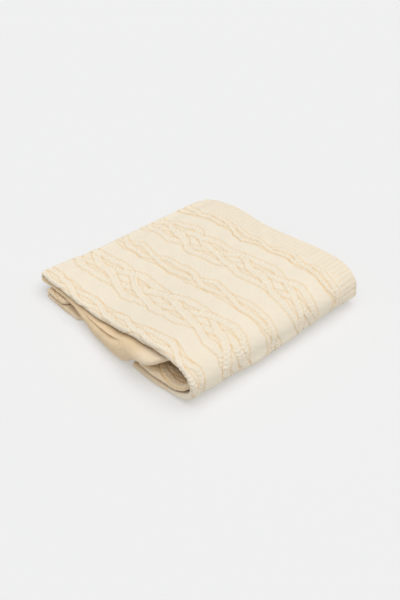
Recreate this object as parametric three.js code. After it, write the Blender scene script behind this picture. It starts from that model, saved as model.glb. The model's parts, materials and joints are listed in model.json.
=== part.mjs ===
// A knitted cotton throw, folded in thirds lengthwise into a band and then in half twice crosswise.
// Millimetres, +Z up. The stack rests on z = 0 and the origin is the middle of its footprint.
// +X points to the round fold, -Y to the front edge with the rolled folds, +Y to the ribbed edge.
//
// The folded cloth is one long band that winds through the stack:
//   free end - bottom band - outer turn - top band - end turn - second band - inner turn - third band - free end.
// Across its width the band holds three plies: the outer ply, the middle ply and the inner ply.
// The outer and inner ply are joined by the roll at the front, the inner and middle ply by the back fold.
// A point of the cloth is given by its place along the band, by y, and by d, its depth below the
// face of the outer ply.
import * as THREE from 'three';

// Cloth
const plyThickness = 3.2;
const pieceGap = 0.3;
const borderWidth = 40;

// Air between two plies: pressed at the free ends, loftiest in the middle, less at the round fold.
const pressedGap = 0.5;
const loftyGap = 2.0;
const turnGap = 1.36;

// Stack
const stackLength = 431;
const stackDepth = 424;
const stackHeight = 78;
const endHeight = 44;
const turnReach = 58;
const frontEdge = 188;
const lowerFrontEdgeOut = 190;
const insetFrontEdge = 146;
const middlePlyInset = 10;
const backFoldInset = 4;
const freeEndInset = 33;
const floorGap = 0.6;

// The roll at the second band's front, and how the lower bands' front edges make room for it
const rollBulge = 21;
const rollReach = 20.5;
const rollStart = 38;
const rollSide = 18;
const lobeRetreat = 20;
const leavingRamp = 40;
const returningRamp = 16;
const freeEndBulge = 5;
const lowerBulge = 9;

// Resolution of the bent stretches
const turnSteps = 8;
const rollSteps = 6;
const backFoldSteps = 4;
const sideSteps = 4;

// Places worked out from the dimensions above
const outerPly = plyThickness / 2;
const rightTip = stackLength / 2;
const backEdge = stackDepth / 2;
const turnStart = rightTip - turnReach;
const turnHalfHeight = stackHeight / 2;
const endTurnRadius = (6 * plyThickness + 5 * pressedGap) / 2;
const endTurnStart = -stackLength / 2 + endTurnRadius;
const freeEnd = -stackLength / 2 + freeEndInset;
const freeEndSeam = freeEnd + borderWidth;
const sideSeam = backEdge - borderWidth;
const backFoldEdge = backEdge - backFoldInset;
const quarter = Math.PI / 2;
const halfGap = pieceGap / 2;

// Where along x each change of shape starts and ends
const riseAtFront = [-75, 145];
const loftGrowth = [endTurnStart, 60];
const loftLoss = [20, turnStart];
const sinkPastThird = [-116, -76];
const sinkPastBottom = [-72, -32];
const climbOntoBoth = [40, 92];
const climbToPlace = [92, 150];
const rollGrowth = [-150, 40];
const rollLoss = [115, turnStart];
const lobeLoss = [128, turnStart];
const bulgeLoss = [115, 185];
const bottomBehindRoll = { from: -56, outAgain: 74 };
const thirdBehindRoll = { from: -100, outAgain: 92 };

// Shares of the roll's way down and up that the first of two steps takes, and how soon the top rises
const firstSinkShare = 0.4;
const firstClimbShare = 0.72;
const riseExponent = 2.2;

const smoothStep = (low, high, value) => THREE.MathUtils.smoothstep(value, low, high);
const over = ([start, end], x) => smoothStep(start, end, x);
const mix = THREE.MathUtils.lerp;

// Height of the stack's top face: low at the free ends, full height at the round fold.
function topHeight(x) {
  const alongStack = (x - endTurnStart) / (turnStart - endTurnStart);
  const quickRise = 1 - Math.pow(1 - THREE.MathUtils.clamp(alongStack, 0, 1), riseExponent);
  const lateRise = over(riseAtFront, x);
  return endHeight + (stackHeight - endHeight) * (quickRise + lateRise) / 2;
}

// Air between neighbouring plies at x.
function loft(x) {
  return mix(pressedGap, loftyGap, over(loftGrowth, x)) - (loftyGap - turnGap) * over(loftLoss, x);
}

// Depths of the middle and inner plies' centre lines, and the thickness of two bands, at a given air gap.
const middlePly = (gap) => outerPly + plyThickness + gap;
const innerPly = (gap) => middlePly(gap) + plyThickness + gap;
const pairThickness = (gap) => 6 * plyThickness + 5 * gap;

// The second band's front edge is a spindle-shaped roll. How far it hangs down: 0 is a thin fold, and 1
// fills the space down to the floor. It sinks past the third band, then past the bottom band, and on the
// right it climbs back onto both.
function rollDrop(x) {
  const dropped = mix(firstSinkShare * over(sinkPastThird, x), 1, over(sinkPastBottom, x));
  const lifted = mix(firstClimbShare * over(climbOntoBoth, x), 1, over(climbToPlace, x));
  return dropped * (1 - lifted);
}

// How far the roll stands out at the front, as a share of rollBulge.
function rollSwelling(x) {
  return over(rollGrowth, x) * (1 - over(rollLoss, x));
}

// Front edge of a lower band. It is out at the free end, lies behind the swollen roll in the middle, and
// is out again on the right, where it bulges next to the round fold.
function lowerFrontEdge(x, behindRoll) {
  const leaving = smoothStep(behindRoll.from - leavingRamp, behindRoll.from, x);
  const returning = smoothStep(behindRoll.outAgain - returningRamp, behindRoll.outAgain, x);
  const left = freeEndBulge * (1 - leaving);
  const right = lowerBulge * returning * (1 - over(bulgeLoss, x));
  return mix(lowerFrontEdgeOut + left + right, insetFrontEdge, leaving * (1 - returning));
}

const bottomFrontEdge = (x) => lowerFrontEdge(x, bottomBehindRoll);
const thirdFrontEdge = (x) => lowerFrontEdge(x, thirdBehindRoll);

// The second band's front edge draws back into the hollow before the round fold.
const secondFrontEdge = (x) => frontEdge - lobeRetreat * over(lobeLoss, x);

// Centre line of the front roll, from the outer ply round the front to the inner ply.
// The roll stands out by swelling, a share of rollBulge, and hangs down to the depth low.
function frontRoll(gap, front, swelling, low) {
  const points = [];
  const thinReach = (innerPly(gap) - outerPly) / 2;
  for (let i = 0; i <= sideSteps; i++) {
    const t = i / sideSteps;
    points.push({ y: -(front - rollStart) - rollSide * t, d: mix(outerPly, low, smoothStep(0, 1, t)) });
  }
  const reach = mix(thinReach, rollReach, swelling);
  const centreY = -(front + rollBulge * swelling - plyThickness / 2 - reach);
  const centreD = (low + innerPly(gap)) / 2;
  const halfHeight = (innerPly(gap) - low) / 2;
  for (let i = 0; i <= rollSteps; i++) {
    const angle = -Math.PI / 2 + Math.PI * i / rollSteps;
    points.push({ y: centreY - reach * Math.cos(angle), d: centreD + halfHeight * Math.sin(angle) });
  }
  return points;
}

// Centre line of the narrow fold at the back, from the inner ply to the middle ply.
function backFold(gap) {
  const points = [];
  const radius = (plyThickness + gap) / 2;
  const centreD = innerPly(gap) - radius;
  const centreY = backFoldEdge - radius - plyThickness / 2;
  for (let i = 0; i <= backFoldSteps; i++) {
    const angle = Math.PI / 2 - Math.PI * i / backFoldSteps;
    points.push({
      y: centreY + radius * Math.cos(angle),
      d: centreD + radius * Math.sin(angle),
    });
  }
  return points;
}

// Centre lines across the band, from the outer ply's free edge to the middle ply's free edge.
function panelAcross(gap, front, swelling, low) {
  const start = { y: sideSeam - pieceGap / 2, d: outerPly };
  const end = { y: -(front - middlePlyInset - borderWidth) + pieceGap / 2, d: middlePly(gap) };
  return [start, ...frontRoll(gap, front, swelling, low), ...backFold(gap), end];
}

function wholeAcross(gap, front) {
  const start = { y: backEdge, d: outerPly };
  const end = { y: -(front - middlePlyInset), d: middlePly(gap) };
  return [start, ...frontRoll(gap, front, 0, outerPly), ...backFold(gap), end];
}

function sideBorderAcross() {
  return [{ y: backEdge, d: outerPly }, { y: sideSeam + pieceGap / 2, d: outerPly }];
}

function innerBorderAcross(gap, front) {
  const edge = front - middlePlyInset;
  return [
    { y: -(edge - borderWidth) - pieceGap / 2, d: middlePly(gap) },
    { y: -edge, d: middlePly(gap) },
  ];
}

// Moves each point of a centre line sideways to a face of the ply. side is -0.5 or 0.5.
function faceOfPly(points, side) {
  return points.map((point, i) => {
    const before = points[Math.max(i - 1, 0)];
    const after = points[Math.min(i + 1, points.length - 1)];
    const run = Math.hypot(after.y - before.y, after.d - before.d);
    return {
      y: point.y - (after.d - before.d) / run * side * plyThickness,
      d: point.d + (after.y - before.y) / run * side * plyThickness,
    };
  });
}

// Stations along straight bands, in the order in which the cloth runs.
function stationsBetween(start, end, places) {
  const inside = places.filter((x) => x > Math.min(start, end) && x < Math.max(start, end));
  inside.sort((a, b) => (end > start ? a - b : b - a));
  return [start, ...inside, end];
}

// The outer turn's front edge moves out towards the floor, to meet the bottom band.
function outerTurnFrontEdge(angle) {
  return mix(frontEdge, bottomFrontEdge(turnStart), smoothStep(0, quarter, -angle));
}

// The inner turn's front edge moves out all the way down, from the second band to the third.
function innerTurnFrontEdge(angle) {
  return mix(secondFrontEdge(turnStart), thirdFrontEdge(turnStart), smoothStep(-quarter, quarter, -angle));
}

function turnAngles(start, end) {
  return Array.from({ length: turnSteps + 1 }, (_, i) => start + (end - start) * i / turnSteps);
}

// The round fold is a nest of half ellipses. Returns the point at a depth below its outer face.
function roundFold(angle, y, depth) {
  const x = turnStart + (turnReach - depth) * Math.cos(angle);
  return [x, y, turnHalfHeight + (turnHalfHeight - depth) * Math.sin(angle)];
}

// Where a band has a station between its ends: closest where its front edge moves in, out, up or down.
const upperStations = [
  -190, -150, -130, -116, -106, -96, -86, -76, -66, -56, -46, -32, -10, 15,
  40, 53, 62, 71, 80, 92, 106, 120, 134, 146,
];
const lowerStations = [
  -160, -140, -130, -120, -110, -100, -90, -80, -70, -56, -20, 20,
  58, 62, 66, 70, 76, 80, 84, 88, 92, 115, 135, 150,
];

// Each stretch of the band: its stations, where a cloth point at (station, y, d) lies, the air between its
// plies and its front edge.
const stretches = {
  bottom: {
    stations: stationsBetween(freeEndSeam + halfGap, turnStart - halfGap, lowerStations),
    place: (x, y, d) => [x, y, d],
    gap: loft,
    front: bottomFrontEdge,
  },
  outer_turn: {
    stations: turnAngles(-quarter, quarter),
    place: roundFold,
    gap: () => turnGap,
    front: outerTurnFrontEdge,
  },
  top: {
    stations: stationsBetween(turnStart - halfGap, endTurnStart + halfGap, upperStations),
    place: (x, y, d) => [x, y, topHeight(x) - d],
    gap: loft,
    front: () => frontEdge,
  },
  end_turn: {
    stations: turnAngles(quarter, 3 * quarter),
    place: (angle, y, d) => {
      const radius = endTurnRadius - d;
      const centreZ = topHeight(endTurnStart) - endTurnRadius;
      return [endTurnStart + radius * Math.cos(angle), y, centreZ + radius * Math.sin(angle)];
    },
    gap: () => pressedGap,
    front: () => frontEdge,
  },
  second: {
    stations: stationsBetween(endTurnStart + halfGap, turnStart - halfGap, upperStations),
    place: (x, y, d) => [x, y, topHeight(x) - pairThickness(loft(x)) + d],
    gap: loft,
    front: secondFrontEdge,
    swelling: rollSwelling,
    low: (x) => {
      const floorDepth = floorGap + outerPly - (topHeight(x) - pairThickness(loft(x)));
      return mix(outerPly, floorDepth, rollDrop(x));
    },
  },
  inner_turn: {
    stations: turnAngles(quarter, -quarter),
    place: (angle, y, d) => roundFold(angle, y, pairThickness(turnGap) - d),
    gap: () => turnGap,
    front: innerTurnFrontEdge,
  },
  third: {
    stations: stationsBetween(turnStart - halfGap, freeEndSeam + halfGap, lowerStations),
    place: (x, y, d) => [x, y, pairThickness(loft(x)) - d],
    gap: loft,
    front: thirdFrontEdge,
  },
};

const cableKnit = { color: 0xeedfc2, roughness: 0.95, metalness: 0 };
const ribKnit = { color: 0xead9b8, roughness: 0.95, metalness: 0 };

// One piece of cloth: a box with a face on each side of the ply, bent along the stretch.
function clothPiece(name, finish, stations, place, acrossAt) {
  const outlines = stations.map((station) => {
    const centre = acrossAt(station);
    return { low: faceOfPly(centre, -0.5), high: faceOfPly(centre, 0.5) };
  });
  const across = outlines[0].low.length - 1;
  const along = stations.length - 1;
  const geometry = new THREE.BoxGeometry(1, 1, 1, across, 1, along);
  const position = geometry.attributes.position;
  for (let i = 0; i < position.count; i++) {
    const outline = outlines[Math.round((position.getZ(i) + 0.5) * along)];
    const face = position.getY(i) > 0 ? outline.high : outline.low;
    const point = face[Math.round((position.getX(i) + 0.5) * across)];
    const station = stations[Math.round((position.getZ(i) + 0.5) * along)];
    position.setXYZ(i, ...place(station, point.y, point.d));
  }
  geometry.computeVertexNormals();
  const mesh = new THREE.Mesh(geometry, new THREE.MeshStandardMaterial(finish));
  mesh.name = name;
  return mesh;
}

const throwBlanket = new THREE.Group();

for (const [name, stretch] of Object.entries(stretches)) {
  const { stations, place, gap, front, swelling = () => 0, low = () => outerPly } = stretch;
  const panel = (at) => panelAcross(gap(at), front(at), swelling(at), low(at));
  throwBlanket.add(clothPiece(`${name}_panel`, cableKnit, stations, place, panel));
  throwBlanket.add(clothPiece(`${name}_side_border`, ribKnit, stations, place, sideBorderAcross));
  const inner = (at) => innerBorderAcross(gap(at), front(at));
  throwBlanket.add(clothPiece(`${name}_inner_border`, ribKnit, stations, place, inner));
}

const bottomEnd = stationsBetween(freeEnd, freeEndSeam - halfGap, lowerStations);
const thirdEnd = stationsBetween(freeEndSeam - halfGap, freeEnd, lowerStations);
const endAcross = (x) => wholeAcross(loft(x), bottomFrontEdge(x));
throwBlanket.add(clothPiece('bottom_end_border', ribKnit, bottomEnd, stretches.bottom.place, endAcross));
throwBlanket.add(clothPiece('third_end_border', ribKnit, thirdEnd, stretches.third.place, endAcross));

export default throwBlanket;
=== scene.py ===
"""A cable-knit cotton throw, folded in thirds into a band and then in half twice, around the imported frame.

The cloth is worked out in millimetres, in the frame's axes, and scaled to metres when a mesh is made.
A point of the cloth has two cloth coordinates: run, along the band, and across, from the ribbed edge.
The band winds through the stack: bottom, outer turn, top, end turn, second, inner turn, third.
"""
import json
import math

import bpy
import numpy as np
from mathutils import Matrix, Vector


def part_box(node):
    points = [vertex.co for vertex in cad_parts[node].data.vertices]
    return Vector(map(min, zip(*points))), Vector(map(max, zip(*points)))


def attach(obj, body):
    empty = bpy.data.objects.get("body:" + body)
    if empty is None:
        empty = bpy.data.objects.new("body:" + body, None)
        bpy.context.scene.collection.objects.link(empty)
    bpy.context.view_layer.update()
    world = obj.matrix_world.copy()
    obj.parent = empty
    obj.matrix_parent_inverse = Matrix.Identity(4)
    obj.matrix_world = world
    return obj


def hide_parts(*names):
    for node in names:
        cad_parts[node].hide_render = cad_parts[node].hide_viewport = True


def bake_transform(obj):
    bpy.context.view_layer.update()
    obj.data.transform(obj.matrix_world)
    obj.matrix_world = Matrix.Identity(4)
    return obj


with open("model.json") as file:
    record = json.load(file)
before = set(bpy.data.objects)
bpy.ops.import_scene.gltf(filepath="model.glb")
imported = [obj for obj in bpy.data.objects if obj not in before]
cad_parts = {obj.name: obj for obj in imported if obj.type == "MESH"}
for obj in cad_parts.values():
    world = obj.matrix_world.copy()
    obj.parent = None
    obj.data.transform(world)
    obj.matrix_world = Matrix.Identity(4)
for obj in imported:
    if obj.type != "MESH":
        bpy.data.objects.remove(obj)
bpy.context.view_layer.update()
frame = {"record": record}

MILLIMETRE = 0.001


def cad_box(node):
    """Lowest and highest corner of a CAD node, in millimetres."""
    low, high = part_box(node)
    return np.array(low) / MILLIMETRE, np.array(high) / MILLIMETRE


# Stack, from the frame
end_low, end_high = cad_box("end_turn_panel")
turn_low, turn_high = cad_box("outer_turn_panel")
RIGHT_TIP = turn_high[0]
STACK_HEIGHT = turn_high[2]
BACK_EDGE = cad_box("top_side_border")[1][1]
TURN_START = round(turn_low[0], 1)
LEFT_TIP = end_low[0]
END_HEIGHT = round(end_high[2], 1)
FREE_END = cad_box("bottom_end_border")[0][0]

# Cloth
PLY = 3.2
HALF_PLY = PLY / 2
PLIES = 3
BORDER_WIDTH = 40.0
MIDDLE_PLY_INSET = 10
BACK_FOLD_INSET = 4
SIDE_SEAM = BACK_EDGE - BORDER_WIDTH
FREE_END_SEAM = FREE_END + BORDER_WIDTH
BACK_FOLD_EDGE = BACK_EDGE - BACK_FOLD_INSET

# Air between two plies: pressed at the free ends, loftiest in the middle, less at the round fold. The
# front puffs up next to the round fold, and every band stays clear of the stack's middle height.
PRESSED_GAP = 0.5
LOFTY_GAP = 2.0
TURN_GAP = 1.36
LEAST_GAP = 0.45
PUFF = 1.0
MID_HEIGHT_CLEARANCE = 0.2


def pair_thickness(gap):
    """Thickness of two bands, one on the other."""
    return 2 * PLIES * PLY + (2 * PLIES - 1) * gap


# Folds
TURN_REACH = RIGHT_TIP - TURN_START
TURN_HALF_HEIGHT = STACK_HEIGHT / 2
INNER_DEPTH = pair_thickness(TURN_GAP)
END_RADIUS = pair_thickness(PRESSED_GAP) / 2
END_START = LEFT_TIP + END_RADIUS
FRONT_EDGE = 188.0
LOWER_FRONT_EDGE_OUT = 190.0
INSET_FRONT_EDGE = 146.0
FLOOR_GAP = 0.6

# The roll at the second band's front, and how the lower bands' front edges make room for it
ROLL_START = 38.0
ROLL_SIDE = 18.0
ROLL_REACH = 20.5
ROLL_BULGE = 21.0
LOWER_FULLNESS = 0.75
LOBE_RETREAT = 20.0
LEAVING_RAMP = 40.0
RETURNING_RAMP = 16.0
FREE_END_BULGE = 5.0
LOWER_BULGE = 9.0

# The thin lip at the top of the roll and the crease under it, by their angle round the roll
LIP_SIZE = 5
LIP_ANGLE = 1.18
LIP_WIDTH = 0.16
CREASE_ANGLE = 0.85
CREASE_WIDTH = 0.2

# Where along x each change of shape starts and ends
RISE_AT_FRONT = (-75, 145)
LOFT_GROWTH = (END_START, 60)
LOFT_LOSS = (20, TURN_START)
PUFF_GROWTH = (60, 95)
PUFF_LOSS = (120, TURN_START)
SINK_PAST_THIRD = (-116, -76)
SINK_PAST_BOTTOM = (-78, -38)
CLIMB_ONTO_BOTH = (47, 92)
CLIMB_TO_PLACE = (92, 150)
ROLL_GROWTH = (-150, 40)
ROLL_LOSS = (115, TURN_START)
LIP_LOSS = (10, 60)
LOBE_LOSS = (128, TURN_START)
LOBE_LIT = (75, 115)
BULGE_LOSS = (115, 185)
BOTTOM_BEHIND_ROLL = -56
BOTTOM_OUT_AGAIN = 74
THIRD_BEHIND_ROLL = -100
THIRD_OUT_AGAIN = 92

# Where from the front towards the back each change of shape starts and ends
FRONT_TO_BACK = (-170, 160)
PUFF_AT_FRONT = (110, 170)

# Shares of the roll's way down and up that the first of two steps takes, and how soon the top rises
FIRST_SINK_SHARE = 0.4
FIRST_CLIMB_SHARE = 0.72
RISE_EXPONENT = 2.2
RISE_DELAY = 0.1

# The back edge, as seen from above: out at the left, a hollow in the middle, and a little out on the right
BACK_OUT_LEFT = 14
BACK_RETREAT = 12
BACK_RETREAT_AT = (-130, -20)
BACK_HOLLOW = 5
BACK_HOLLOW_AT = 5
BACK_HOLLOW_WIDTH = 60
BACK_RETURN = 5
BACK_RETURN_AT = (40, 150)
BACK_WAVE_FROM = 90

# The left end, as seen from above: rounded corners, out at the front corner and drawn in behind it
BACK_CORNER_RADIUS = 34
FRONT_CORNER_RADIUS = 12
LEFT_OUT_AT_FRONT = -3
LEFT_IN_AT_BACK = 6
LEFT_CHANGE_ACROSS = (-175, -60)
LEFT_CHANGE_ALONG = (-200, -90)

# The round fold's sag near the floor, and how far its upper part is drawn in at the back
SAG = 6
MIDDLE_SAG = 10.5
MIDDLE_SAG_AT = -10
MIDDLE_SAG_WIDTH = 100
SCALLOP = 1.4
SCALLOP_PITCH = 84.0
SCALLOP_START = 35.0
SAG_RISE = (-14, 8)
SAG_LOSS = (8, TURN_HALF_HEIGHT)
DRAWN_IN = 4
DRAWN_IN_AT_BACK = (150, 205)
DRAWN_IN_ABOVE = (15, TURN_HALF_HEIGHT)

# Distance between neighbouring stations and section points: fine where the knit is seen
FINE_STEP = 1.6
INNER_STEP = 1.8
THIRD_STEP = 2.4
PLAIN_STEP = 3.2
FREE_PLY_STEP = 6
HIDDEN_STEP = 12.0
END_TURN_STATIONS = 41
DENSE_ANGLES = 400

# Points along each bent part of a section
SIDE_POINTS = 24
ROUND_POINTS = 60
FULL_ROLL_POINTS = 72
THIN_ROLL_POINTS = 32
BACK_FOLD_POINTS = 7

QUARTER = math.pi / 2
TINY = 1e-9


def smooth_step(low, high, value):
    t = np.clip((value - low) / (high - low), 0, 1)
    return t * t * (3 - 2 * t)


def over(span, value):
    """Share of a span that is passed, from 0 to 1, with a smooth start and end."""
    return smooth_step(span[0], span[1], value)


def mix(a, b, share):
    return a + (b - a) * share


def bell(value, middle, width):
    return np.exp(-((value - middle) / width) ** 2)


# ---------------------------------------------------------------- the stack's shape

def top_height(x, y):
    """Height of the top face: it rises quickly along the back edge and late along the front edge."""
    along = np.clip((x - END_START) / (TURN_START - END_START), 0, 1)
    quick_rise = 1 - (1 - along * smooth_step(0, RISE_DELAY, along)) ** RISE_EXPONENT
    late_rise = over(RISE_AT_FRONT, x)
    return END_HEIGHT + (STACK_HEIGHT - END_HEIGHT) * mix(late_rise, quick_rise, over(FRONT_TO_BACK, y))


def loft(x, y):
    """Air between plies: it grows from the pressed end, and never fills more than half the height."""
    rising = mix(PRESSED_GAP, LOFTY_GAP, over(LOFT_GROWTH, x))
    free = rising - (LOFTY_GAP - TURN_GAP) * over(LOFT_LOSS, x)
    puffed = PUFF * over(PUFF_GROWTH, x) * (1 - over(PUFF_LOSS, x)) * over(PUFF_AT_FRONT, -y)
    room = (top_height(x, y) / 2 - MID_HEIGHT_CLEARANCE - pair_thickness(0)) / (2 * PLIES - 1)
    return np.maximum(np.minimum(free + puffed, room), LEAST_GAP)


def roll_drop(x):
    """How far the second band's front roll hangs down: 1 is down to the floor."""
    dropped = mix(FIRST_SINK_SHARE * over(SINK_PAST_THIRD, x), 1, over(SINK_PAST_BOTTOM, x))
    lifted = mix(FIRST_CLIMB_SHARE * over(CLIMB_ONTO_BOTH, x), 1, over(CLIMB_TO_PLACE, x))
    return dropped * (1 - lifted)


def roll_swelling(x):
    """How far the roll stands out at the front, as a share of its bulge."""
    return over(ROLL_GROWTH, x) * (1 - over(ROLL_LOSS, x))


def lower_front(x, behind_at, out_at):
    """Front edge of a lower band: out at the free end, behind the roll from behind_at on, then out again."""
    leaving = smooth_step(behind_at - LEAVING_RAMP, behind_at, x)
    returning = smooth_step(out_at - RETURNING_RAMP, out_at, x)
    left = FREE_END_BULGE * (1 - leaving)
    right = LOWER_BULGE * returning * (1 - over(BULGE_LOSS, x))
    return mix(LOWER_FRONT_EDGE_OUT + left + right, INSET_FRONT_EDGE, leaving * (1 - returning))


def bottom_front(x):
    return lower_front(x, BOTTOM_BEHIND_ROLL, BOTTOM_OUT_AGAIN)


def third_front(x):
    return lower_front(x, THIRD_BEHIND_ROLL, THIRD_OUT_AGAIN)


def second_front(x):
    """The second band's front edge draws back into the hollow before the round fold."""
    return FRONT_EDGE - LOBE_RETREAT * over(LOBE_LOSS, x)


def outer_turn_front(angle):
    """The outer turn's front edge moves out towards the floor, to meet the bottom band."""
    return mix(FRONT_EDGE, bottom_front(TURN_START), smooth_step(0, QUARTER, -angle))


def inner_turn_front(angle):
    """The inner turn's front edge moves out all the way down, from the second band to the third."""
    return mix(second_front(TURN_START), third_front(TURN_START), smooth_step(-QUARTER, QUARTER, -angle))


def back_wave(x):
    """How far the back edge stands out."""
    retreated = BACK_OUT_LEFT - BACK_RETREAT * over(BACK_RETREAT_AT, x)
    hollowed = retreated - BACK_HOLLOW * bell(x, BACK_HOLLOW_AT, BACK_HOLLOW_WIDTH)
    return hollowed + BACK_RETURN * over(BACK_RETURN_AT, x)


def round_corner(x, y, corner_x, corner_y, radius):
    """Turns the square corner of the plan into a quarter circle."""
    a = np.clip(radius - np.abs(x - corner_x), 0, None)
    b = np.clip(radius - np.abs(y - corner_y), 0, None)
    inside = (a > 0) & (b > 0)
    factor = np.where(inside, np.maximum(a, b) / np.maximum(np.hypot(a, b), TINY), 1)
    towards_x = math.copysign(1, -corner_x)
    towards_y = math.copysign(1, -corner_y)
    new_x = corner_x + towards_x * (radius - a * factor)
    new_y = corner_y + towards_y * (radius - b * factor)
    return np.where(inside, new_x, x), np.where(inside, new_y, y)


def turn_fullness(x, y, z):
    """The round fold sags outwards near the floor, most in the middle and between the cables."""
    outwards = smooth_step(TURN_START, RIGHT_TIP, x)
    low = over(SAG_RISE, z) * (1 - over(SAG_LOSS, z))
    scallop = SCALLOP * np.cos(2 * math.pi * (y - SCALLOP_START) / SCALLOP_PITCH)
    sagging = (SAG + MIDDLE_SAG * bell(y, MIDDLE_SAG_AT, MIDDLE_SAG_WIDTH) + scallop) * low
    drawn_in = DRAWN_IN * over(DRAWN_IN_AT_BACK, y) * over(DRAWN_IN_ABOVE, z)
    return outwards * (sagging - drawn_in)


def settle(points):
    """The stack's plan: a sagging fold, a wandering back edge and rounded corners on the left."""
    x, y, z = points[..., 0], points[..., 1], points[..., 2]
    x = x + turn_fullness(x, y, z)
    x, y = round_corner(x, y, LEFT_TIP, BACK_EDGE, BACK_CORNER_RADIUS)
    x, y = round_corner(x, y, LEFT_TIP, -FRONT_EDGE, FRONT_CORNER_RADIUS)
    left_shift = mix(LEFT_OUT_AT_FRONT, LEFT_IN_AT_BACK, over(LEFT_CHANGE_ACROSS, y))
    x = x + left_shift * (1 - over(LEFT_CHANGE_ALONG, x))
    y = y + back_wave(x) * smooth_step(BACK_WAVE_FROM, BACK_EDGE, y)
    return np.stack([x, y, z], axis=-1)


# ---------------------------------------------------------------- the stretches of the band

def step_count(length, spacing):
    return int(round(length / spacing))


def ellipse_lengths(reach, half_height, angles):
    steps = np.hypot(np.diff(reach * np.cos(angles)), np.diff(half_height * np.sin(angles)))
    return np.concatenate([[0], np.cumsum(steps)])


def even_angles(reach, half_height, spacing):
    """Angles from straight up to straight down, evenly spaced along a half ellipse, and its arc lengths."""
    dense = np.linspace(QUARTER, -QUARTER, DENSE_ANGLES)
    lengths = ellipse_lengths(reach, half_height, dense)
    wanted = np.linspace(0, lengths[-1], step_count(lengths[-1], spacing) + 1)
    return np.interp(wanted, lengths, dense), wanted


def even_stations(start, end, spacing):
    return np.linspace(start, end, step_count(abs(end - start), spacing) + 1)


def with_ghosts(values):
    """One more value beyond each end, for the slopes at the ends."""
    return np.concatenate([[2 * values[0] - values[1]], values, [2 * values[-1] - values[-2]]])


def points_from(x, y, z):
    return np.stack(np.broadcast_arrays(x, y, z), axis=-1)


def round_fold(angle, y, depth):
    """A point of the round fold, at a depth under its outermost face."""
    x = TURN_START + (TURN_REACH - depth) * np.cos(angle)
    z = TURN_HALF_HEIGHT + (TURN_HALF_HEIGHT - depth) * np.sin(angle)
    return points_from(x, y, z)


def place_bottom(x, y, d):
    return points_from(x, y, d)


def place_third(x, y, d):
    return points_from(x, y, pair_thickness(loft(x, y)) - d)


def place_top(x, y, d):
    return points_from(x, y, top_height(x, y) - d)


def place_second(x, y, d):
    return points_from(x, y, top_height(x, y) - pair_thickness(loft(x, y)) + d)


def place_end_turn(angle, y, d):
    radius = END_RADIUS - d
    x = END_START + radius * np.cos(angle)
    z = END_HEIGHT - END_RADIUS + radius * np.sin(angle)
    return points_from(x, y, z)


def place_outer_turn(angle, y, d):
    return round_fold(angle, y, d)


def place_inner_turn(angle, y, d):
    return round_fold(angle, y, INNER_DEPTH - d)


def constant(value):
    return lambda station, y=None: np.full(np.broadcast(station, 0 if y is None else y).shape, value)


# Cloth coordinate across the band where the painted shade of the hidden cloth begins
SHADE_FROM = 320
SHADE_FROM_UNDER_TOP = 398


class Stretch:
    """A stretch of the band: its stations, their cloth coordinate, and where a cloth point lies.

    A swollen stretch has the full roll at its front. Its shade is a warm painted shade inside the folds.
    """

    def __init__(self, stations, run, place, gap, front, shade=0.8, shade_from=SHADE_FROM, swollen=False,
                 spacing=FINE_STEP):
        self.stations = stations
        self.run = run
        self.place = place
        self.gap = gap
        self.front = front
        self.shade = shade
        self.shade_from = shade_from
        self.swollen = swollen
        self.spacing = spacing


outer_angles, outer_lengths = even_angles(TURN_REACH, TURN_HALF_HEIGHT, FINE_STEP)
inner_angles, inner_lengths = even_angles(TURN_REACH - INNER_DEPTH, TURN_HALF_HEIGHT - INNER_DEPTH,
                                          INNER_STEP)
end_angles = np.linspace(QUARTER, 3 * QUARTER, END_TURN_STATIONS)
top_x = even_stations(END_START, TURN_START, FINE_STEP)
second_x = even_stations(END_START, TURN_START, INNER_STEP)
bottom_x = even_stations(TURN_START, FREE_END_SEAM, PLAIN_STEP)
third_x = even_stations(TURN_START, FREE_END_SEAM, THIRD_STEP)
free_end_x = even_stations(FREE_END_SEAM, FREE_END, FINE_STEP)

# Cloth coordinate along the band where each stretch after the top begins
BOTTOM_RUN = TURN_START + outer_lengths[-1]
SECOND_RUN = END_START - math.pi * END_RADIUS
INNER_RUN = SECOND_RUN - (TURN_START - END_START)
THIRD_RUN = INNER_RUN - inner_lengths[-1]

STRETCHES = {
    "bottom": Stretch(bottom_x, BOTTOM_RUN + TURN_START - bottom_x, place_bottom, loft, bottom_front),
    "outer_turn": Stretch(outer_angles, TURN_START + outer_lengths, place_outer_turn,
                          constant(TURN_GAP), outer_turn_front, shade_from=SHADE_FROM_UNDER_TOP),
    "top": Stretch(top_x, top_x, place_top, loft, constant(FRONT_EDGE), shade_from=SHADE_FROM_UNDER_TOP),
    "end_turn": Stretch(end_angles, END_START - END_RADIUS * (end_angles - QUARTER), place_end_turn,
                        constant(PRESSED_GAP), constant(FRONT_EDGE), shade_from=SHADE_FROM_UNDER_TOP),
    "second": Stretch(second_x, SECOND_RUN - (second_x - END_START), place_second, loft, second_front,
                      shade=1.35, swollen=True, spacing=PLAIN_STEP),
    "inner_turn": Stretch(inner_angles, INNER_RUN - inner_lengths, place_inner_turn,
                          constant(TURN_GAP), inner_turn_front),
    "third": Stretch(third_x, THIRD_RUN - (TURN_START - third_x), place_third, loft, third_front,
                     shade=0.9, spacing=THIRD_STEP),
}


# ---------------------------------------------------------------- knitted relief

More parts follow.
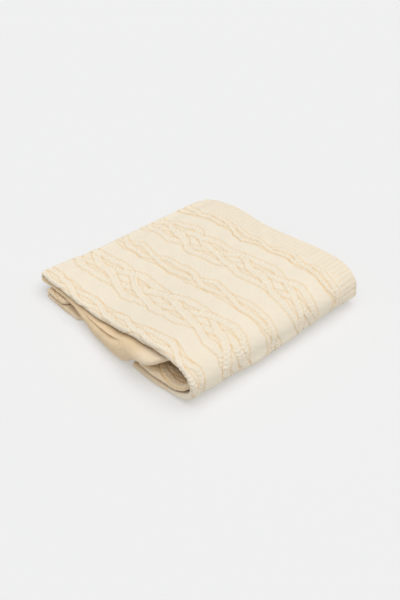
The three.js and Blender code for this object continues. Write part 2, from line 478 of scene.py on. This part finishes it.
RIB_PITCH = 10.5
RIB_HEIGHT = 1.0
RIB_ROUNDNESS = 0.7
RIB_LEVEL = 0.8
FLAT_RIBS = 0.5
RIB_GROWTH = (90, 180)
STRAND_HEIGHT = 1.25
STRAND_SINK = 0.5
SHOULDER_WIDTH = 2.4
VALLEY_DEPTH = 1.2
VALLEY_WIDTH = 1.45
CLEFT_DEPTH = 0.6
CLEFT_WIDTH = 1.3
CLEFT_PLACE = 0.15
YARN_HEIGHT = 0.6
YARN_PITCH = 7.6
YARN_SLANT = 1.6
SEAM_DEPTH = 0.9
SEAM_WIDTH = 1.6
SEAM_BLEND = 2
SEAM_SHADE = 0.5
RELIEF_TOP = 1.9
LOWEST_PATTERN = -2.2
LOWEST_RELIEF = -1.8
DEEPEST_SHADE = 2
EDGE_HEIGHT = 0.4
EDGE_WIDTH = 4.0

# Where across the cloth the pattern fades into plain cloth inside the folds, and how the painted shade grows
PATTERN_LOSS = (405, 425)
PATTERN_LOSS_ON_ROLL = (330, 360)
SHADE_RAMP = 60
LOBE_LIGHT = 0.45

# Cable columns: place across the cloth, how far the strands swing, half a strand's width, the length of
# one full swing, where the swing starts, and the number of strands.
COLUMNS = (
    (57, 7.5, 5.5, 190, -60, 2),
    (133.5, 25, 8.0, 440, -25, 4),
    (217, 9.5, 6.5, 205, 10, 2),
    (300.5, 26, 8.5, 440, 70, 4),
    (386, 11, 7.0, 195, -35, 2),
)

# Straight furrows beside the narrow columns
FURROWS = (69.0, 234.0, 371.0)

# Fields of unevenness: size, the draw's seed, number of waves, shortest and longest wave
RUN_DRIFT = (9, 3, 5, 90, 260)
ACROSS_DRIFT = (3.2, 5, 6, 60, 200)
ACROSS_WOBBLE = (0.8, 8, 6, 18, 42)
PUCKERS = (0.35, 11, 8, 25, 80)
FINE_PUCKERS = (0.17, 13, 8, 7, 14)
WIDEST_SLANT = 0.9
FULL_PHASE = 6.28


def uneven(run, across, field):
    """A smooth field of about minus to plus its size, summed from a few fixed waves."""
    size, seed, count, shortest, longest = field
    draw = np.random.default_rng(seed)
    total = np.zeros(np.broadcast(run, across).shape)
    for _ in range(count):
        angle = draw.uniform(-WIDEST_SLANT, WIDEST_SLANT)
        length = draw.uniform(shortest, longest)
        phase = draw.uniform(0, FULL_PHASE)
        place = run * math.cos(angle) + across * math.sin(angle)
        total += np.sin(place * 2 * math.pi / length + phase)
    return size * (total / math.sqrt(count))


def strand_lines(run, across, column, number):
    """Distance from one strand's middle line, and how high the strand passes over the others."""
    centre, swing, half_width, length, start, strands = column
    phase = 2 * math.pi * ((run - start) / length + number / strands)
    path = centre + swing * np.sin(phase)
    slope = swing * 2 * math.pi / length * np.cos(phase)
    offset = np.abs(across - path) / np.hypot(1, slope)
    twist = np.cos(phase)
    return offset, twist if strands == 2 else np.sin(2 * phase) + 0.5 * twist


def furrow(distance):
    return VALLEY_DEPTH * bell(distance, 0, VALLEY_WIDTH)


def yarn_marks(run, offset, half_width):
    """Slanting stitch marks along a strand, and a shallow cleft along its middle."""
    slant = run / YARN_PITCH + offset / (YARN_SLANT * half_width)
    return YARN_HEIGHT * np.sin(2 * math.pi * slant) - CLEFT_DEPTH * bell(
        offset, CLEFT_PLACE * half_width, CLEFT_WIDTH)


def with_strand(height, run, offset, half_width):
    """The height once a strand is laid over it, with a valley along each side of the strand."""
    crown = STRAND_HEIGHT * np.sqrt(np.clip(1 - (offset / half_width) ** 2, 0, 1))
    shoulder = smooth_step(0, SHOULDER_WIDTH, half_width - offset)
    top = crown - STRAND_SINK + yarn_marks(run, offset, half_width)
    strand = mix(height - VALLEY_DEPTH, top, shoulder)
    beside = height - furrow(np.clip(offset - half_width, 0, None))
    return np.where(offset < half_width, strand, beside)


def cable_relief(run, across):
    """Height of the cable pattern over the plain ground. Strands are laid from the lowest to the highest."""
    uneven_run = run + uneven(run, across, RUN_DRIFT)
    uneven_across = across + uneven(run, across, ACROSS_DRIFT) + uneven(run, across, ACROSS_WOBBLE)
    height = np.zeros(run.shape)
    for line in FURROWS:
        height = height - furrow(np.abs(uneven_across - line))
    for column in COLUMNS:
        half_width = column[2]
        lines = [strand_lines(uneven_run, uneven_across, column, number) for number in range(column[5])]
        offsets = np.stack([offset for offset, level in lines])
        order = np.argsort(np.stack([level for offset, level in lines]), axis=0)
        for place in range(len(lines)):
            offset = np.take_along_axis(offsets, order[place:place + 1], axis=0)[0]
            height = with_strand(height, run, offset, half_width)
    return np.clip(height, LOWEST_PATTERN, None)


def rib_relief(run):
    """Height of the ribs, which run across the border and stand out most near the round fold."""
    ribs = np.abs(np.cos(math.pi * run / RIB_PITCH)) ** RIB_ROUNDNESS - RIB_LEVEL
    return RIB_HEIGHT * ribs * mix(FLAT_RIBS, 1, over(RIB_GROWTH, run))


def relief(run, across, knit):
    """Height of the knitted face, and how deep it lies in a valley of the pattern: its painted shade."""
    in_border = 1 - smooth_step(BORDER_WIDTH - SEAM_BLEND, BORDER_WIDTH + SEAM_BLEND, across)
    pattern = mix(cable_relief(run, across), rib_relief(run), in_border) * knit
    seam = SEAM_DEPTH * bell(across, BORDER_WIDTH, SEAM_WIDTH)
    hand = uneven(run, across, PUCKERS) + uneven(run, across, FINE_PUCKERS)
    height = np.clip(pattern - seam + hand, LOWEST_RELIEF, None)
    return height, np.clip(-pattern - seam * SEAM_SHADE, 0, DEEPEST_SHADE)


def level_at_edges(height, across, free_edges):
    """The relief levels out towards a free edge of the cloth."""
    for side, edge in (("first", across[:, :1]), ("last", across[:, -1:])):
        if side in free_edges:
            height = mix(EDGE_HEIGHT, height, smooth_step(0, EDGE_WIDTH, np.abs(across - edge)))
    return height


def knitted_face(stretch, station, run, across, free_edges):
    """Height of the outer face, and its painted shade: in the valleys, and inside the folds."""
    knit = 1 - over(PATTERN_LOSS, across)
    if stretch.swollen:
        knit = knit * (1 - over(PATTERN_LOSS_ON_ROLL, across))
    height, valley = relief(run, across, knit)
    height = level_at_edges(height, across, free_edges)
    unlit = 1 - LOBE_LIGHT * over(LOBE_LIT, station) * stretch.swollen
    inside_fold = smooth_step(stretch.shade_from, stretch.shade_from + SHADE_RAMP, across)
    return height, valley + stretch.shade * unlit * inside_fold


# ---------------------------------------------------------------- sections across the band
#
# A section is two arrays with a row for each station: y, and k, which counts plies. The outer ply is 0,
# the middle ply 1 and the inner ply 2.

def resample(y, k, depth_scale, count):
    """Even samples along each row's polyline."""
    new_y = np.empty((y.shape[0], count))
    new_k = np.empty((y.shape[0], count))
    for row in range(y.shape[0]):
        steps = np.hypot(np.diff(y[row]), np.diff(k[row]) * depth_scale[row])
        lengths = np.concatenate([[0], np.cumsum(steps)])
        wanted = np.linspace(0, lengths[-1], count)
        new_y[row] = np.interp(wanted, lengths, y[row])
        new_k[row] = np.interp(wanted, lengths, k[row])
    return new_y, new_k


def lip(angle, swelling, x):
    """Sideways push that makes the thin lip and the crease under it at the top of the swollen roll."""
    ridge = LIP_SIZE * bell(angle, LIP_ANGLE, LIP_WIDTH)
    crease = LIP_SIZE * bell(angle, CREASE_ANGLE, CREASE_WIDTH)
    return (ridge - crease) * (swelling * (1 - over(LIP_LOSS, x)))


def front_roll(x, gap, front, swollen, count):
    """Centre line from the outer ply round the front to the inner ply."""
    pitch = (PLY + gap)[:, None]
    swelling = roll_swelling(x)[:, None] * swollen
    drop = roll_drop(x)[:, None] * swollen
    front = front[:, None]
    station = x[:, None]
    underside = top_height(station, -front) - pair_thickness(gap[:, None])
    low = (FLOOR_GAP - underside) / pitch * drop
    t = np.linspace(0, 1, SIDE_POINTS)[None, :]
    side_y = -(front - ROLL_START) - ROLL_SIDE * t
    side_k = low * smooth_step(0, 1, t)
    angle = np.linspace(-QUARTER, QUARTER, ROUND_POINTS)[None, :]
    reach = mix(pitch, ROLL_REACH, swelling)
    centre_y = -(front + ROLL_BULGE * swelling - HALF_PLY - reach)
    fullness = mix(1, LOWER_FULLNESS, swelling * (angle < 0))
    round_y = centre_y - reach * np.cos(angle) ** fullness - lip(angle, swelling, station)
    round_k = (low + 2) / 2 + (2 - low) / 2 * np.sin(angle)
    y = np.concatenate([side_y, round_y], axis=1)
    k = np.concatenate([side_k + 0 * side_y, round_k + 0 * round_y], axis=1)
    return resample(y, k, pitch[:, 0], count)


def back_fold(gap):
    """Centre line from the inner ply round the back to the middle ply."""
    radius = ((PLY + gap) / 2)[:, None]
    angle = np.linspace(QUARTER, -QUARTER, BACK_FOLD_POINTS)[None, :]
    y = BACK_FOLD_EDGE - radius - HALF_PLY + radius * np.cos(angle)
    return y, 1.5 + 0.5 * np.sin(angle) + 0 * y


def straight(start, end, k, spacing):
    """A flat ply from start to end, one row for each station."""
    longest = np.max(np.abs(end - start))
    t = np.linspace(0, 1, step_count(longest, spacing) + 1)[None, :]
    y = start[:, None] + (end - start)[:, None] * t
    return y, np.full(y.shape, float(k))


def joined(*parts):
    """Sections end to end, with each shared point kept once."""
    ys = [parts[0][0]] + [part[0][:, 1:] for part in parts[1:]]
    ks = [parts[0][1]] + [part[1][:, 1:] for part in parts[1:]]
    return np.concatenate(ys, axis=1), np.concatenate(ks, axis=1)


def band_section(stretch, x, start_y, inner_edge):
    """Outer ply, front roll, inner ply, back fold and middle ply."""
    edge = np.full(x.shape, float(start_y))
    front = stretch.front(x)
    roll_points = FULL_ROLL_POINTS if stretch.swollen else THIN_ROLL_POINTS
    outer = straight(edge, -(front - ROLL_START), 0, stretch.spacing)
    roll = front_roll(x, stretch.gap(x, -front), front, stretch.swollen, roll_points)
    fold = back_fold(stretch.gap(x, BACK_EDGE))
    inner = straight(roll[0][:, -1], fold[0][:, 0], 2, HIDDEN_STEP)
    middle = straight(fold[0][:, -1], -(front - inner_edge), 1, HIDDEN_STEP)
    return joined(outer, roll, inner, fold, middle)


def panel_section(stretch, x):
    return band_section(stretch, x, SIDE_SEAM, MIDDLE_PLY_INSET + BORDER_WIDTH)


def end_section(stretch, x):
    return band_section(stretch, x, BACK_EDGE - HALF_PLY, MIDDLE_PLY_INSET + HALF_PLY)


def side_section(stretch, x):
    edge = np.full(x.shape, float(BACK_EDGE - HALF_PLY))
    return straight(edge, np.full(x.shape, float(SIDE_SEAM)), 0, FINE_STEP)


def inner_section(stretch, x):
    inset_front = stretch.front(x) - MIDDLE_PLY_INSET
    return straight(-(inset_front - BORDER_WIDTH), -(inset_front - HALF_PLY), 1, FREE_PLY_STEP)


# ---------------------------------------------------------------- cloth pieces

INSIDE_STRIDE = 6
BEND_STRIDE = 2
LEAST_BEND = 1e-3
THINNEST_END = 0.12
EDGE_ANGLES = (45, 0, -45)
FACE_SIDE_SHARE = 0.6


def face_line(y, d, half):
    """The section moved sideways by half, which is positive on the knitted face."""
    slope_y = np.gradient(y, axis=1)
    slope_d = np.gradient(d, axis=1)
    length = np.maximum(np.hypot(slope_y, slope_d), 1e-6)
    return y - slope_d / length * half, d + slope_y / length * half


def cloth_across(y, d, start):
    """Cloth coordinate across the band: the length along the section from its start."""
    steps = np.hypot(np.diff(y, axis=1), np.diff(d, axis=1))
    return start + np.concatenate([np.zeros((y.shape[0], 1)), np.cumsum(steps, axis=1)], axis=1)


def coarse_columns(y, k):
    """The columns that the plain inside of the cloth keeps: every bend, and a few on the flat."""
    bend = np.max(np.abs(np.gradient(np.gradient(k, axis=1), axis=1)), axis=0) > LEAST_BEND
    keep = np.zeros(y.shape[1], bool)
    keep[::INSIDE_STRIDE] = True
    keep[0] = keep[-1] = True
    keep |= bend & (np.arange(y.shape[1]) % BEND_STRIDE == 0)
    return np.flatnonzero(keep)


def unit(vectors):
    return vectors / np.maximum(np.linalg.norm(vectors, axis=-1, keepdims=True), TINY)


def grid_normals(points):
    return unit(np.cross(np.gradient(points, axis=0), np.gradient(points, axis=1)))


def end_taper(stations, free_end):
    """Share of the ply's thickness at each station: it rounds off towards a free end of the cloth."""
    if free_end is None:
        return np.ones((len(stations), 1))
    inside = np.clip(np.abs(stations - free_end) / HALF_PLY, 0, 1)
    return np.maximum(np.sqrt(1 - (1 - inside) ** 2), THINNEST_END)[:, None]


def rounded_edge(place_points, y, d, outer_d, middle, half, index):
    """Points that round a free edge, from the knitted face to the inside, and their normals."""
    neighbour = 1 if index == 0 else -2
    outwards = np.sign(y[:, index] - y[:, neighbour])[:, None]
    face_side = np.sign(outer_d[:, index] - d[:, index])[:, None]
    angles = np.radians(EDGE_ANGLES)[None, :]
    share = np.where(angles > 0, FACE_SIDE_SHARE, 1)
    edge_y = y[:, [index]] + outwards * half * np.cos(angles)
    edge_d = d[:, [index]] + face_side * half * np.sin(angles) * share
    points = place_points(edge_y, edge_d)
    return points, unit(points - middle[:, [index]])


def flat_size(middle):
    """Width and mean length of the ply's middle surface, laid flat, in metres."""
    widths = np.linalg.norm(np.diff(middle, axis=1), axis=-1)
    lengths = np.linalg.norm(np.diff(middle, axis=0), axis=-1).sum(axis=0)
    spans = widths.mean(axis=0)
    column_lengths = (lengths[1:] + lengths[:-1]) / 2
    width = float(spans.sum())
    length = float((column_lengths * spans).sum() / width)
    return width * MILLIMETRE, length * MILLIMETRE


def loop_faces(rows, columns):
    """Quads between neighbouring stations round the closed section."""
    here = np.arange(columns)
    ahead = (here + 1) % columns
    starts = (np.arange(rows - 1) * columns)[:, None]
    ends = starts + columns
    quads = np.stack([starts + here, starts + ahead, ends + ahead, ends + here], axis=-1)
    return quads.reshape(-1, 4).tolist()


def end_faces(first, columns, kept, last_edge_points):
    """Small faces that close a section, each between neighbouring kept columns of the inside."""
    outer_count = kept[-1] + 1
    inner = [outer_count + last_edge_points + len(kept) - 1 - place for place in range(len(kept))]
    faces = []
    for place in range(len(kept) - 1):
        outer = list(range(kept[place], kept[place + 1] + 1))
        faces.append(outer + [inner[place + 1], inner[place]])
    if last_edge_points:
        faces.append(list(range(outer_count - 1, inner[-1] + 1)))
    if inner[0] < columns - 1:
        faces.append(list(range(inner[0], columns)) + [0])
    return [[first + index for index in face] for face in faces]


def build_mesh(name, points, normals, faces, cloth, valley):
    """A mesh with smooth normals, its cloth coordinates and its painted shade."""
    mesh = bpy.data.meshes.new(name)
    mesh.from_pydata((points.reshape(-1, 3) * MILLIMETRE).tolist(), [], faces)
    mesh.shade_smooth()
    mesh.attributes.new("cloth", "FLOAT_VECTOR", "POINT").data.foreach_set(
        "vector", cloth.reshape(-1).astype(np.float32))
    mesh.attributes.new("valley", "FLOAT", "POINT").data.foreach_set(
        "value", valley.reshape(-1).astype(np.float32))
    mesh.validate()
    mesh.normals_split_custom_set_from_vertices(normals.reshape(-1, 3).tolist())
    return mesh


def closed_faces(rows, columns, kept, last_edge_points, flip):
    """All faces of a closed cloth piece, turned outwards."""
    first_end = [face[::-1] for face in end_faces(0, columns, kept, last_edge_points)]
    last_end = end_faces((rows - 1) * columns, columns, kept, last_edge_points)
    faces = loop_faces(rows, columns) + first_end + last_end
    return faces if flip < 0 else [face[::-1] for face in faces]


def ply_skin(place_points, y, k, d, height, taper, free_edges):
    """The closed skin of a ply: its points, their normals and the section columns that they stand for.

    Also returns the ply's middle surface, the columns that the inside keeps, and which way the faces turn.
    """
    half = HALF_PLY * taper
    outer_y, outer_d = face_line(y, d, (HALF_PLY - RELIEF_TOP / 2 + height) * taper)
    outer = place_points(outer_y, outer_d)
    inner = place_points(*face_line(y, d, -half))
    middle = place_points(y, d)
    normals = grid_normals(outer)
    flip = np.sign(np.sum(normals * (outer - middle)))
    kept = coarse_columns(y, k)
    last = y.shape[1] - 1
    blocks = [(outer, normals * flip, np.arange(last + 1))]
    if "last" in free_edges:
        edge, edge_normals = rounded_edge(place_points, y, d, outer_d, middle, half, last)
        blocks.append((edge, edge_normals, np.full(len(EDGE_ANGLES), last)))
    blocks.append((inner[:, kept[::-1]], -grid_normals(inner)[:, kept[::-1]] * flip, kept[::-1]))
    if "first" in free_edges:
        edge, edge_normals = rounded_edge(place_points, y, d, outer_d, middle, half, 0)
        blocks.append((edge[:, ::-1], edge_normals[:, ::-1], np.zeros(len(EDGE_ANGLES), int)))
    points = np.concatenate([block[0] for block in blocks], axis=1)
    normals = np.concatenate([block[1] for block in blocks], axis=1)
    columns = np.concatenate([block[2] for block in blocks])
    return points, normals, columns, middle, kept.tolist(), flip


def cloth_piece(name, stretch, section, first_across, stations=None, run=None, free_edges=(), free_end=None):
    """One piece of the knitted cloth: a patterned outer face, a plain inside and rounded free edges.

    Returns the object and its flat size.
    """
    stations = with_ghosts(stretch.stations if stations is None else stations)
    run = with_ghosts(stretch.run if run is None else run)
    station = stations[:, None]

    def place_points(y, d):
        return settle(stretch.place(station, y, d))

    y, k = section(stretch, stations)
    d = HALF_PLY + k * (PLY + stretch.gap(station, y))
    across = cloth_across(y, d, first_across)
    along = run[:, None] + 0 * y
    height, valley = knitted_face(stretch, station, along, across, free_edges)
    taper = end_taper(stations, free_end)
    points, normals, columns, middle, kept, flip = ply_skin(place_points, y, k, d, height, taper, free_edges)

    without_ghosts = slice(1, -1)
    cloth = np.stack([along, across, 0 * along], axis=-1)[without_ghosts, columns]
    # Painted shade, only on the knitted face
    shade = valley[without_ghosts, columns]
    shade[:, y.shape[1]:] = 0
    points = points[without_ghosts]
    last_edge_points = len(EDGE_ANGLES) if "last" in free_edges else 0
    faces = closed_faces(*points.shape[:2], kept, last_edge_points, flip)
    mesh = build_mesh(name, points, normals[without_ghosts], faces, cloth, shade)
    piece = bpy.data.objects.new(name, mesh)
    bpy.context.scene.collection.objects.link(piece)
    return piece, flat_size(middle[without_ghosts])


# ---------------------------------------------------------------- materials

CREAM = (0.895, 0.82, 0.685, 1)
DEEP_CREAM = (0.87, 0.78, 0.635, 1)
RIB_CREAM = (0.88, 0.80, 0.66, 1)
# Colour of the painted shade in the folds, the valleys and the stitches' hollows
PAINTED_SHADE_COLOUR = (0.82, 0.58, 0.31, 1)
SHEEN_CREAM = (1.0, 0.96, 0.9, 1)

# Size of one stitch in millimetres, how far its legs slant, and how round its legs and loops are
WALE = 3.0
COURSE = 2.3
LEG_SLANT = 1.3
LEG_ROUNDNESS = 0.6
LOOP_ROUNDNESS = 0.5
LOOP_SHARE = 0.6

# How far the colour goes towards the painted shade colour, in the stitches' hollows and in the valleys
STITCH_PAINTED_SHADE = 0.22
VALLEY_PAINTED_SHADE = 0.5
FUZZ_HEIGHT = 0.35


def node(tree, kind, inputs=(), **settings):
    """A shader node with its settings and its inputs: a number, a colour or another node's output."""
    made = tree.nodes.new(kind)
    for key, value in settings.items():
        setattr(made, key, value)
    for key, value in dict(inputs).items():
        if isinstance(value, bpy.types.NodeSocket):
            tree.links.new(value, made.inputs[key])
        else:
            made.inputs[key].default_value = value
    return made


def maths(tree, operation, first, second=0.0, third=0.0):
    made = node(tree, "ShaderNodeMath", {0: first, 1: second, 2: third}, operation=operation)
    return made.outputs[0]


def blended(tree, share, first, second):
    made = node(tree, "ShaderNodeMix", {"Factor": share, 6: first, 7: second}, data_type="RGBA")
    return made.outputs[2]


def stitch_height(tree, run, across):
    """Height of the knit stitches: columns of V-shaped loops."""
    wale = maths(tree, "FRACT", maths(tree, "DIVIDE", across, WALE))
    from_middle = maths(tree, "ABSOLUTE", maths(tree, "SUBTRACT", wale, 0.5))
    legs = maths(tree, "ABSOLUTE", maths(tree, "SINE", maths(tree, "MULTIPLY", wale, 2 * math.pi)))
    slant = maths(tree, "MULTIPLY", from_middle, LEG_SLANT)
    slanted = maths(tree, "ADD", maths(tree, "DIVIDE", run, COURSE), slant)
    loops = maths(tree, "ABSOLUTE", maths(tree, "SINE", maths(tree, "MULTIPLY", slanted, math.pi)))
    round_legs = maths(tree, "POWER", legs, LEG_ROUNDNESS)
    round_loops = maths(tree, "POWER", loops, LOOP_ROUNDNESS)
    level = maths(tree, "MULTIPLY_ADD", round_loops, LOOP_SHARE, 1 - LOOP_SHARE)
    return maths(tree, "MULTIPLY", round_legs, level)


def knit_material(name, light, deep, fold):
    """Cotton knit: stitches, fuzz, slow tone variation, warm painted shade in hollows, valleys and folds."""
    material = bpy.data.materials.new(name)
    material.use_nodes = True
    tree = material.node_tree
    cloth = node(tree, "ShaderNodeAttribute", attribute_name="cloth").outputs["Vector"]
    valley = node(tree, "ShaderNodeAttribute", attribute_name="valley").outputs["Fac"]
    parts = node(tree, "ShaderNodeSeparateXYZ", {0: cloth})
    stitches = stitch_height(tree, parts.outputs[0], parts.outputs[1])
    clouds = node(tree, "ShaderNodeTexNoise", {"Vector": cloth, "Scale": 0.035, "Detail": 3})
    fuzz = node(tree, "ShaderNodeTexNoise", {"Vector": cloth, "Scale": 0.9, "Detail": 4})
    ground = blended(tree, clouds.outputs["Fac"], light, deep)
    # Painted shade: towards the painted shade colour in the hollows of the stitches
    painted_stitch_shade = maths(tree, "MULTIPLY_ADD", stitches, -STITCH_PAINTED_SHADE, STITCH_PAINTED_SHADE)
    stitched = blended(tree, painted_stitch_shade, ground, fold)
    # Painted shade in the valleys and inside the folds, as given by the valley attribute
    shaded = blended(tree, maths(tree, "MULTIPLY", valley, VALLEY_PAINTED_SHADE), stitched, fold)
    fine = maths(tree, "MULTIPLY_ADD", fuzz.outputs["Fac"], FUZZ_HEIGHT, stitches)
    bump = node(tree, "ShaderNodeBump", {"Height": fine, "Strength": 0.45, "Distance": 0.0008})
    shader = tree.nodes["Principled BSDF"]
    tree.links.new(shaded, shader.inputs["Base Color"])
    tree.links.new(bump.outputs["Normal"], shader.inputs["Normal"])
    shader.inputs["Roughness"].default_value = 0.95
    shader.inputs["Specular IOR Level"].default_value = 0.15
    shader.inputs["Sheen Weight"].default_value = 0.25
    shader.inputs["Sheen Roughness"].default_value = 0.5
    shader.inputs["Sheen Tint"].default_value = SHEEN_CREAM
    return material


cable_knit = knit_material("cable_knit", CREAM, DEEP_CREAM, PAINTED_SHADE_COLOUR)
rib_knit = knit_material("rib_knit", RIB_CREAM, DEEP_CREAM, PAINTED_SHADE_COLOUR)


# ---------------------------------------------------------------- the pieces

bodies = {}
for body, nodes in frame["record"]["behaviour"]["bodies"].items():
    for cad_node in nodes:
        bodies[cad_node] = body

# Round folds, left out of the bodies; their heights from the lower to the upper body are not used
BLENDS = {"outer_turn": (14.0, 64.0), "inner_turn": (28.0, 50.0)}

# Cloth coordinate where the inner border starts: past the pattern, so that its face stays plain
INNER_BORDER_ACROSS = 1150


def finish_piece(piece, cad_node, stretch_name, material):
    piece.data.materials.append(material)
    if stretch_name in BLENDS:
        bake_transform(piece)
    else:
        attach(piece, bodies[cad_node])
    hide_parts(cad_node)


def make_panel(name, stretch):
    piece, flat = cloth_piece(f"{name}_panel_cloth", stretch, panel_section, BORDER_WIDTH)
    finish_piece(piece, f"{name}_panel", name, cable_knit)


def make_side_border(name, stretch):
    piece, flat = cloth_piece(f"{name}_side_border_cloth", stretch, side_section, HALF_PLY,
                              free_edges=("first",))
    finish_piece(piece, f"{name}_side_border", name, rib_knit)


def make_inner_border(name, stretch):
    piece, flat = cloth_piece(f"{name}_inner_border_cloth", stretch, inner_section, INNER_BORDER_ACROSS,
                              free_edges=("last",))
    finish_piece(piece, f"{name}_inner_border", name, rib_knit)


def make_end_border(name, stretch):
    """The ribbed free end of the band."""
    onwards = np.sign(stretch.run[-1] - stretch.run[0])
    run = np.linspace(stretch.run[-1], stretch.run[-1] + onwards * BORDER_WIDTH, len(free_end_x))
    piece, flat = cloth_piece(f"{name}_end_border_cloth", stretch, end_section, HALF_PLY,
                              stations=free_end_x, run=run, free_edges=("first", "last"), free_end=FREE_END)
    finish_piece(piece, f"{name}_end_border", name, rib_knit)


for name, stretch in STRETCHES.items():
    make_panel(name, stretch)
    make_side_border(name, stretch)
    make_inner_border(name, stretch)
for name in ("bottom", "third"):
    make_end_border(name, STRETCHES[name])


# ---------------------------------------------------------------- studio

# In metres
FLOOR_HALF_WIDTH = 20
BACKDROP_RADIUS = 19
CAMERA_TARGET = Vector((10.3, 13.6, 0)) * MILLIMETRE
CAMERA_DISTANCE = 1.588

CAMERA_AZIMUTH = math.radians(47.8)
CAMERA_ELEVATION = math.radians(38.0)
LENS = 51
SENSOR_WIDTH = 36
FLOOR_GREY = (0.50, 0.50, 0.50, 1)
FLOOR_GLOW = 0.325
WHITE = (1.0, 1.0, 1.0, 1)
BACKDROP_GREY = (0.87, 0.87, 0.87, 1)
SKY = (0.93, 0.965, 1.0, 1)
SKY_STRENGTH = 0.42
SUN_DIRECTION = (0.16, 0.06, 1.0)
SUN_STRENGTH = 2.22
SUN_SPREAD = math.radians(70)
SUN_COLOUR = (1.0, 0.985, 0.965)


def make_floor():
    """A lit table: its faint glow keeps the contact shadow light."""
    mesh = bpy.data.meshes.new("studio_floor")
    half = FLOOR_HALF_WIDTH
    corners = [(-half, -half, 0), (half, -half, 0), (half, half, 0), (-half, half, 0)]
    mesh.from_pydata(corners, [], [(0, 1, 2, 3)])
    floor = bpy.data.objects.new("studio_floor", mesh)
    bpy.context.scene.collection.objects.link(floor)
    material = bpy.data.materials.new("studio_floor")
    material.use_nodes = True
    shader = material.node_tree.nodes["Principled BSDF"]
    shader.inputs["Base Color"].default_value = FLOOR_GREY
    shader.inputs["Emission Color"].default_value = WHITE
    shader.inputs["Emission Strength"].default_value = FLOOR_GLOW
    shader.inputs["Roughness"].default_value = 1.0
    shader.inputs["Specular IOR Level"].default_value = 0
    mesh.materials.append(material)


def make_sun():
    """A very soft light from above, the same strength all over the floor."""
    data = bpy.data.lights.new("overhead", "SUN")
    data.energy = SUN_STRENGTH
    data.angle = SUN_SPREAD
    data.color = SUN_COLOUR
    light = bpy.data.objects.new("overhead", data)
    light.rotation_euler = Vector(SUN_DIRECTION).to_track_quat("Z", "Y").to_euler()
    bpy.context.scene.collection.objects.link(light)


def make_backdrop():
    """A plain pale surround that only the camera sees, behind the floor's far edge."""
    bpy.ops.mesh.primitive_uv_sphere_add(segments=48, ring_count=24, radius=BACKDROP_RADIUS)
    backdrop = bpy.context.object
    backdrop.name = "studio_backdrop"
    backdrop.visible_diffuse = False
    backdrop.visible_glossy = False
    backdrop.visible_transmission = False
    backdrop.visible_shadow = False
    material = bpy.data.materials.new("studio_backdrop")
    material.use_nodes = True
    tree = material.node_tree
    tree.nodes.clear()
    glow = node(tree, "ShaderNodeEmission", {"Color": BACKDROP_GREY, "Strength": 1.0})
    node(tree, "ShaderNodeOutputMaterial", {"Surface": glow.outputs[0]})
    backdrop.data.materials.append(material)


def make_world():
    world = bpy.data.worlds.new("studio")
    world.use_nodes = True
    background = world.node_tree.nodes["Background"]
    background.inputs["Color"].default_value = SKY
    background.inputs["Strength"].default_value = SKY_STRENGTH
    bpy.context.scene.world = world


def make_camera():
    data = bpy.data.cameras.new("camera")
    data.lens = LENS
    data.sensor_width = SENSOR_WIDTH
    data.sensor_fit = "AUTO"
    back = Vector((math.sin(CAMERA_AZIMUTH) * math.cos(CAMERA_ELEVATION),
                   -math.cos(CAMERA_AZIMUTH) * math.cos(CAMERA_ELEVATION),
                   math.sin(CAMERA_ELEVATION)))
    camera = bpy.data.objects.new("camera", data)
    camera.location = CAMERA_TARGET + back * CAMERA_DISTANCE
    camera.rotation_euler = back.to_track_quat("Z", "Y").to_euler()
    bpy.context.scene.collection.objects.link(camera)
    bpy.context.scene.camera = camera


make_camera()
make_floor()
make_backdrop()
make_world()
make_sun()
bpy.context.scene.view_settings.view_transform = "Standard"
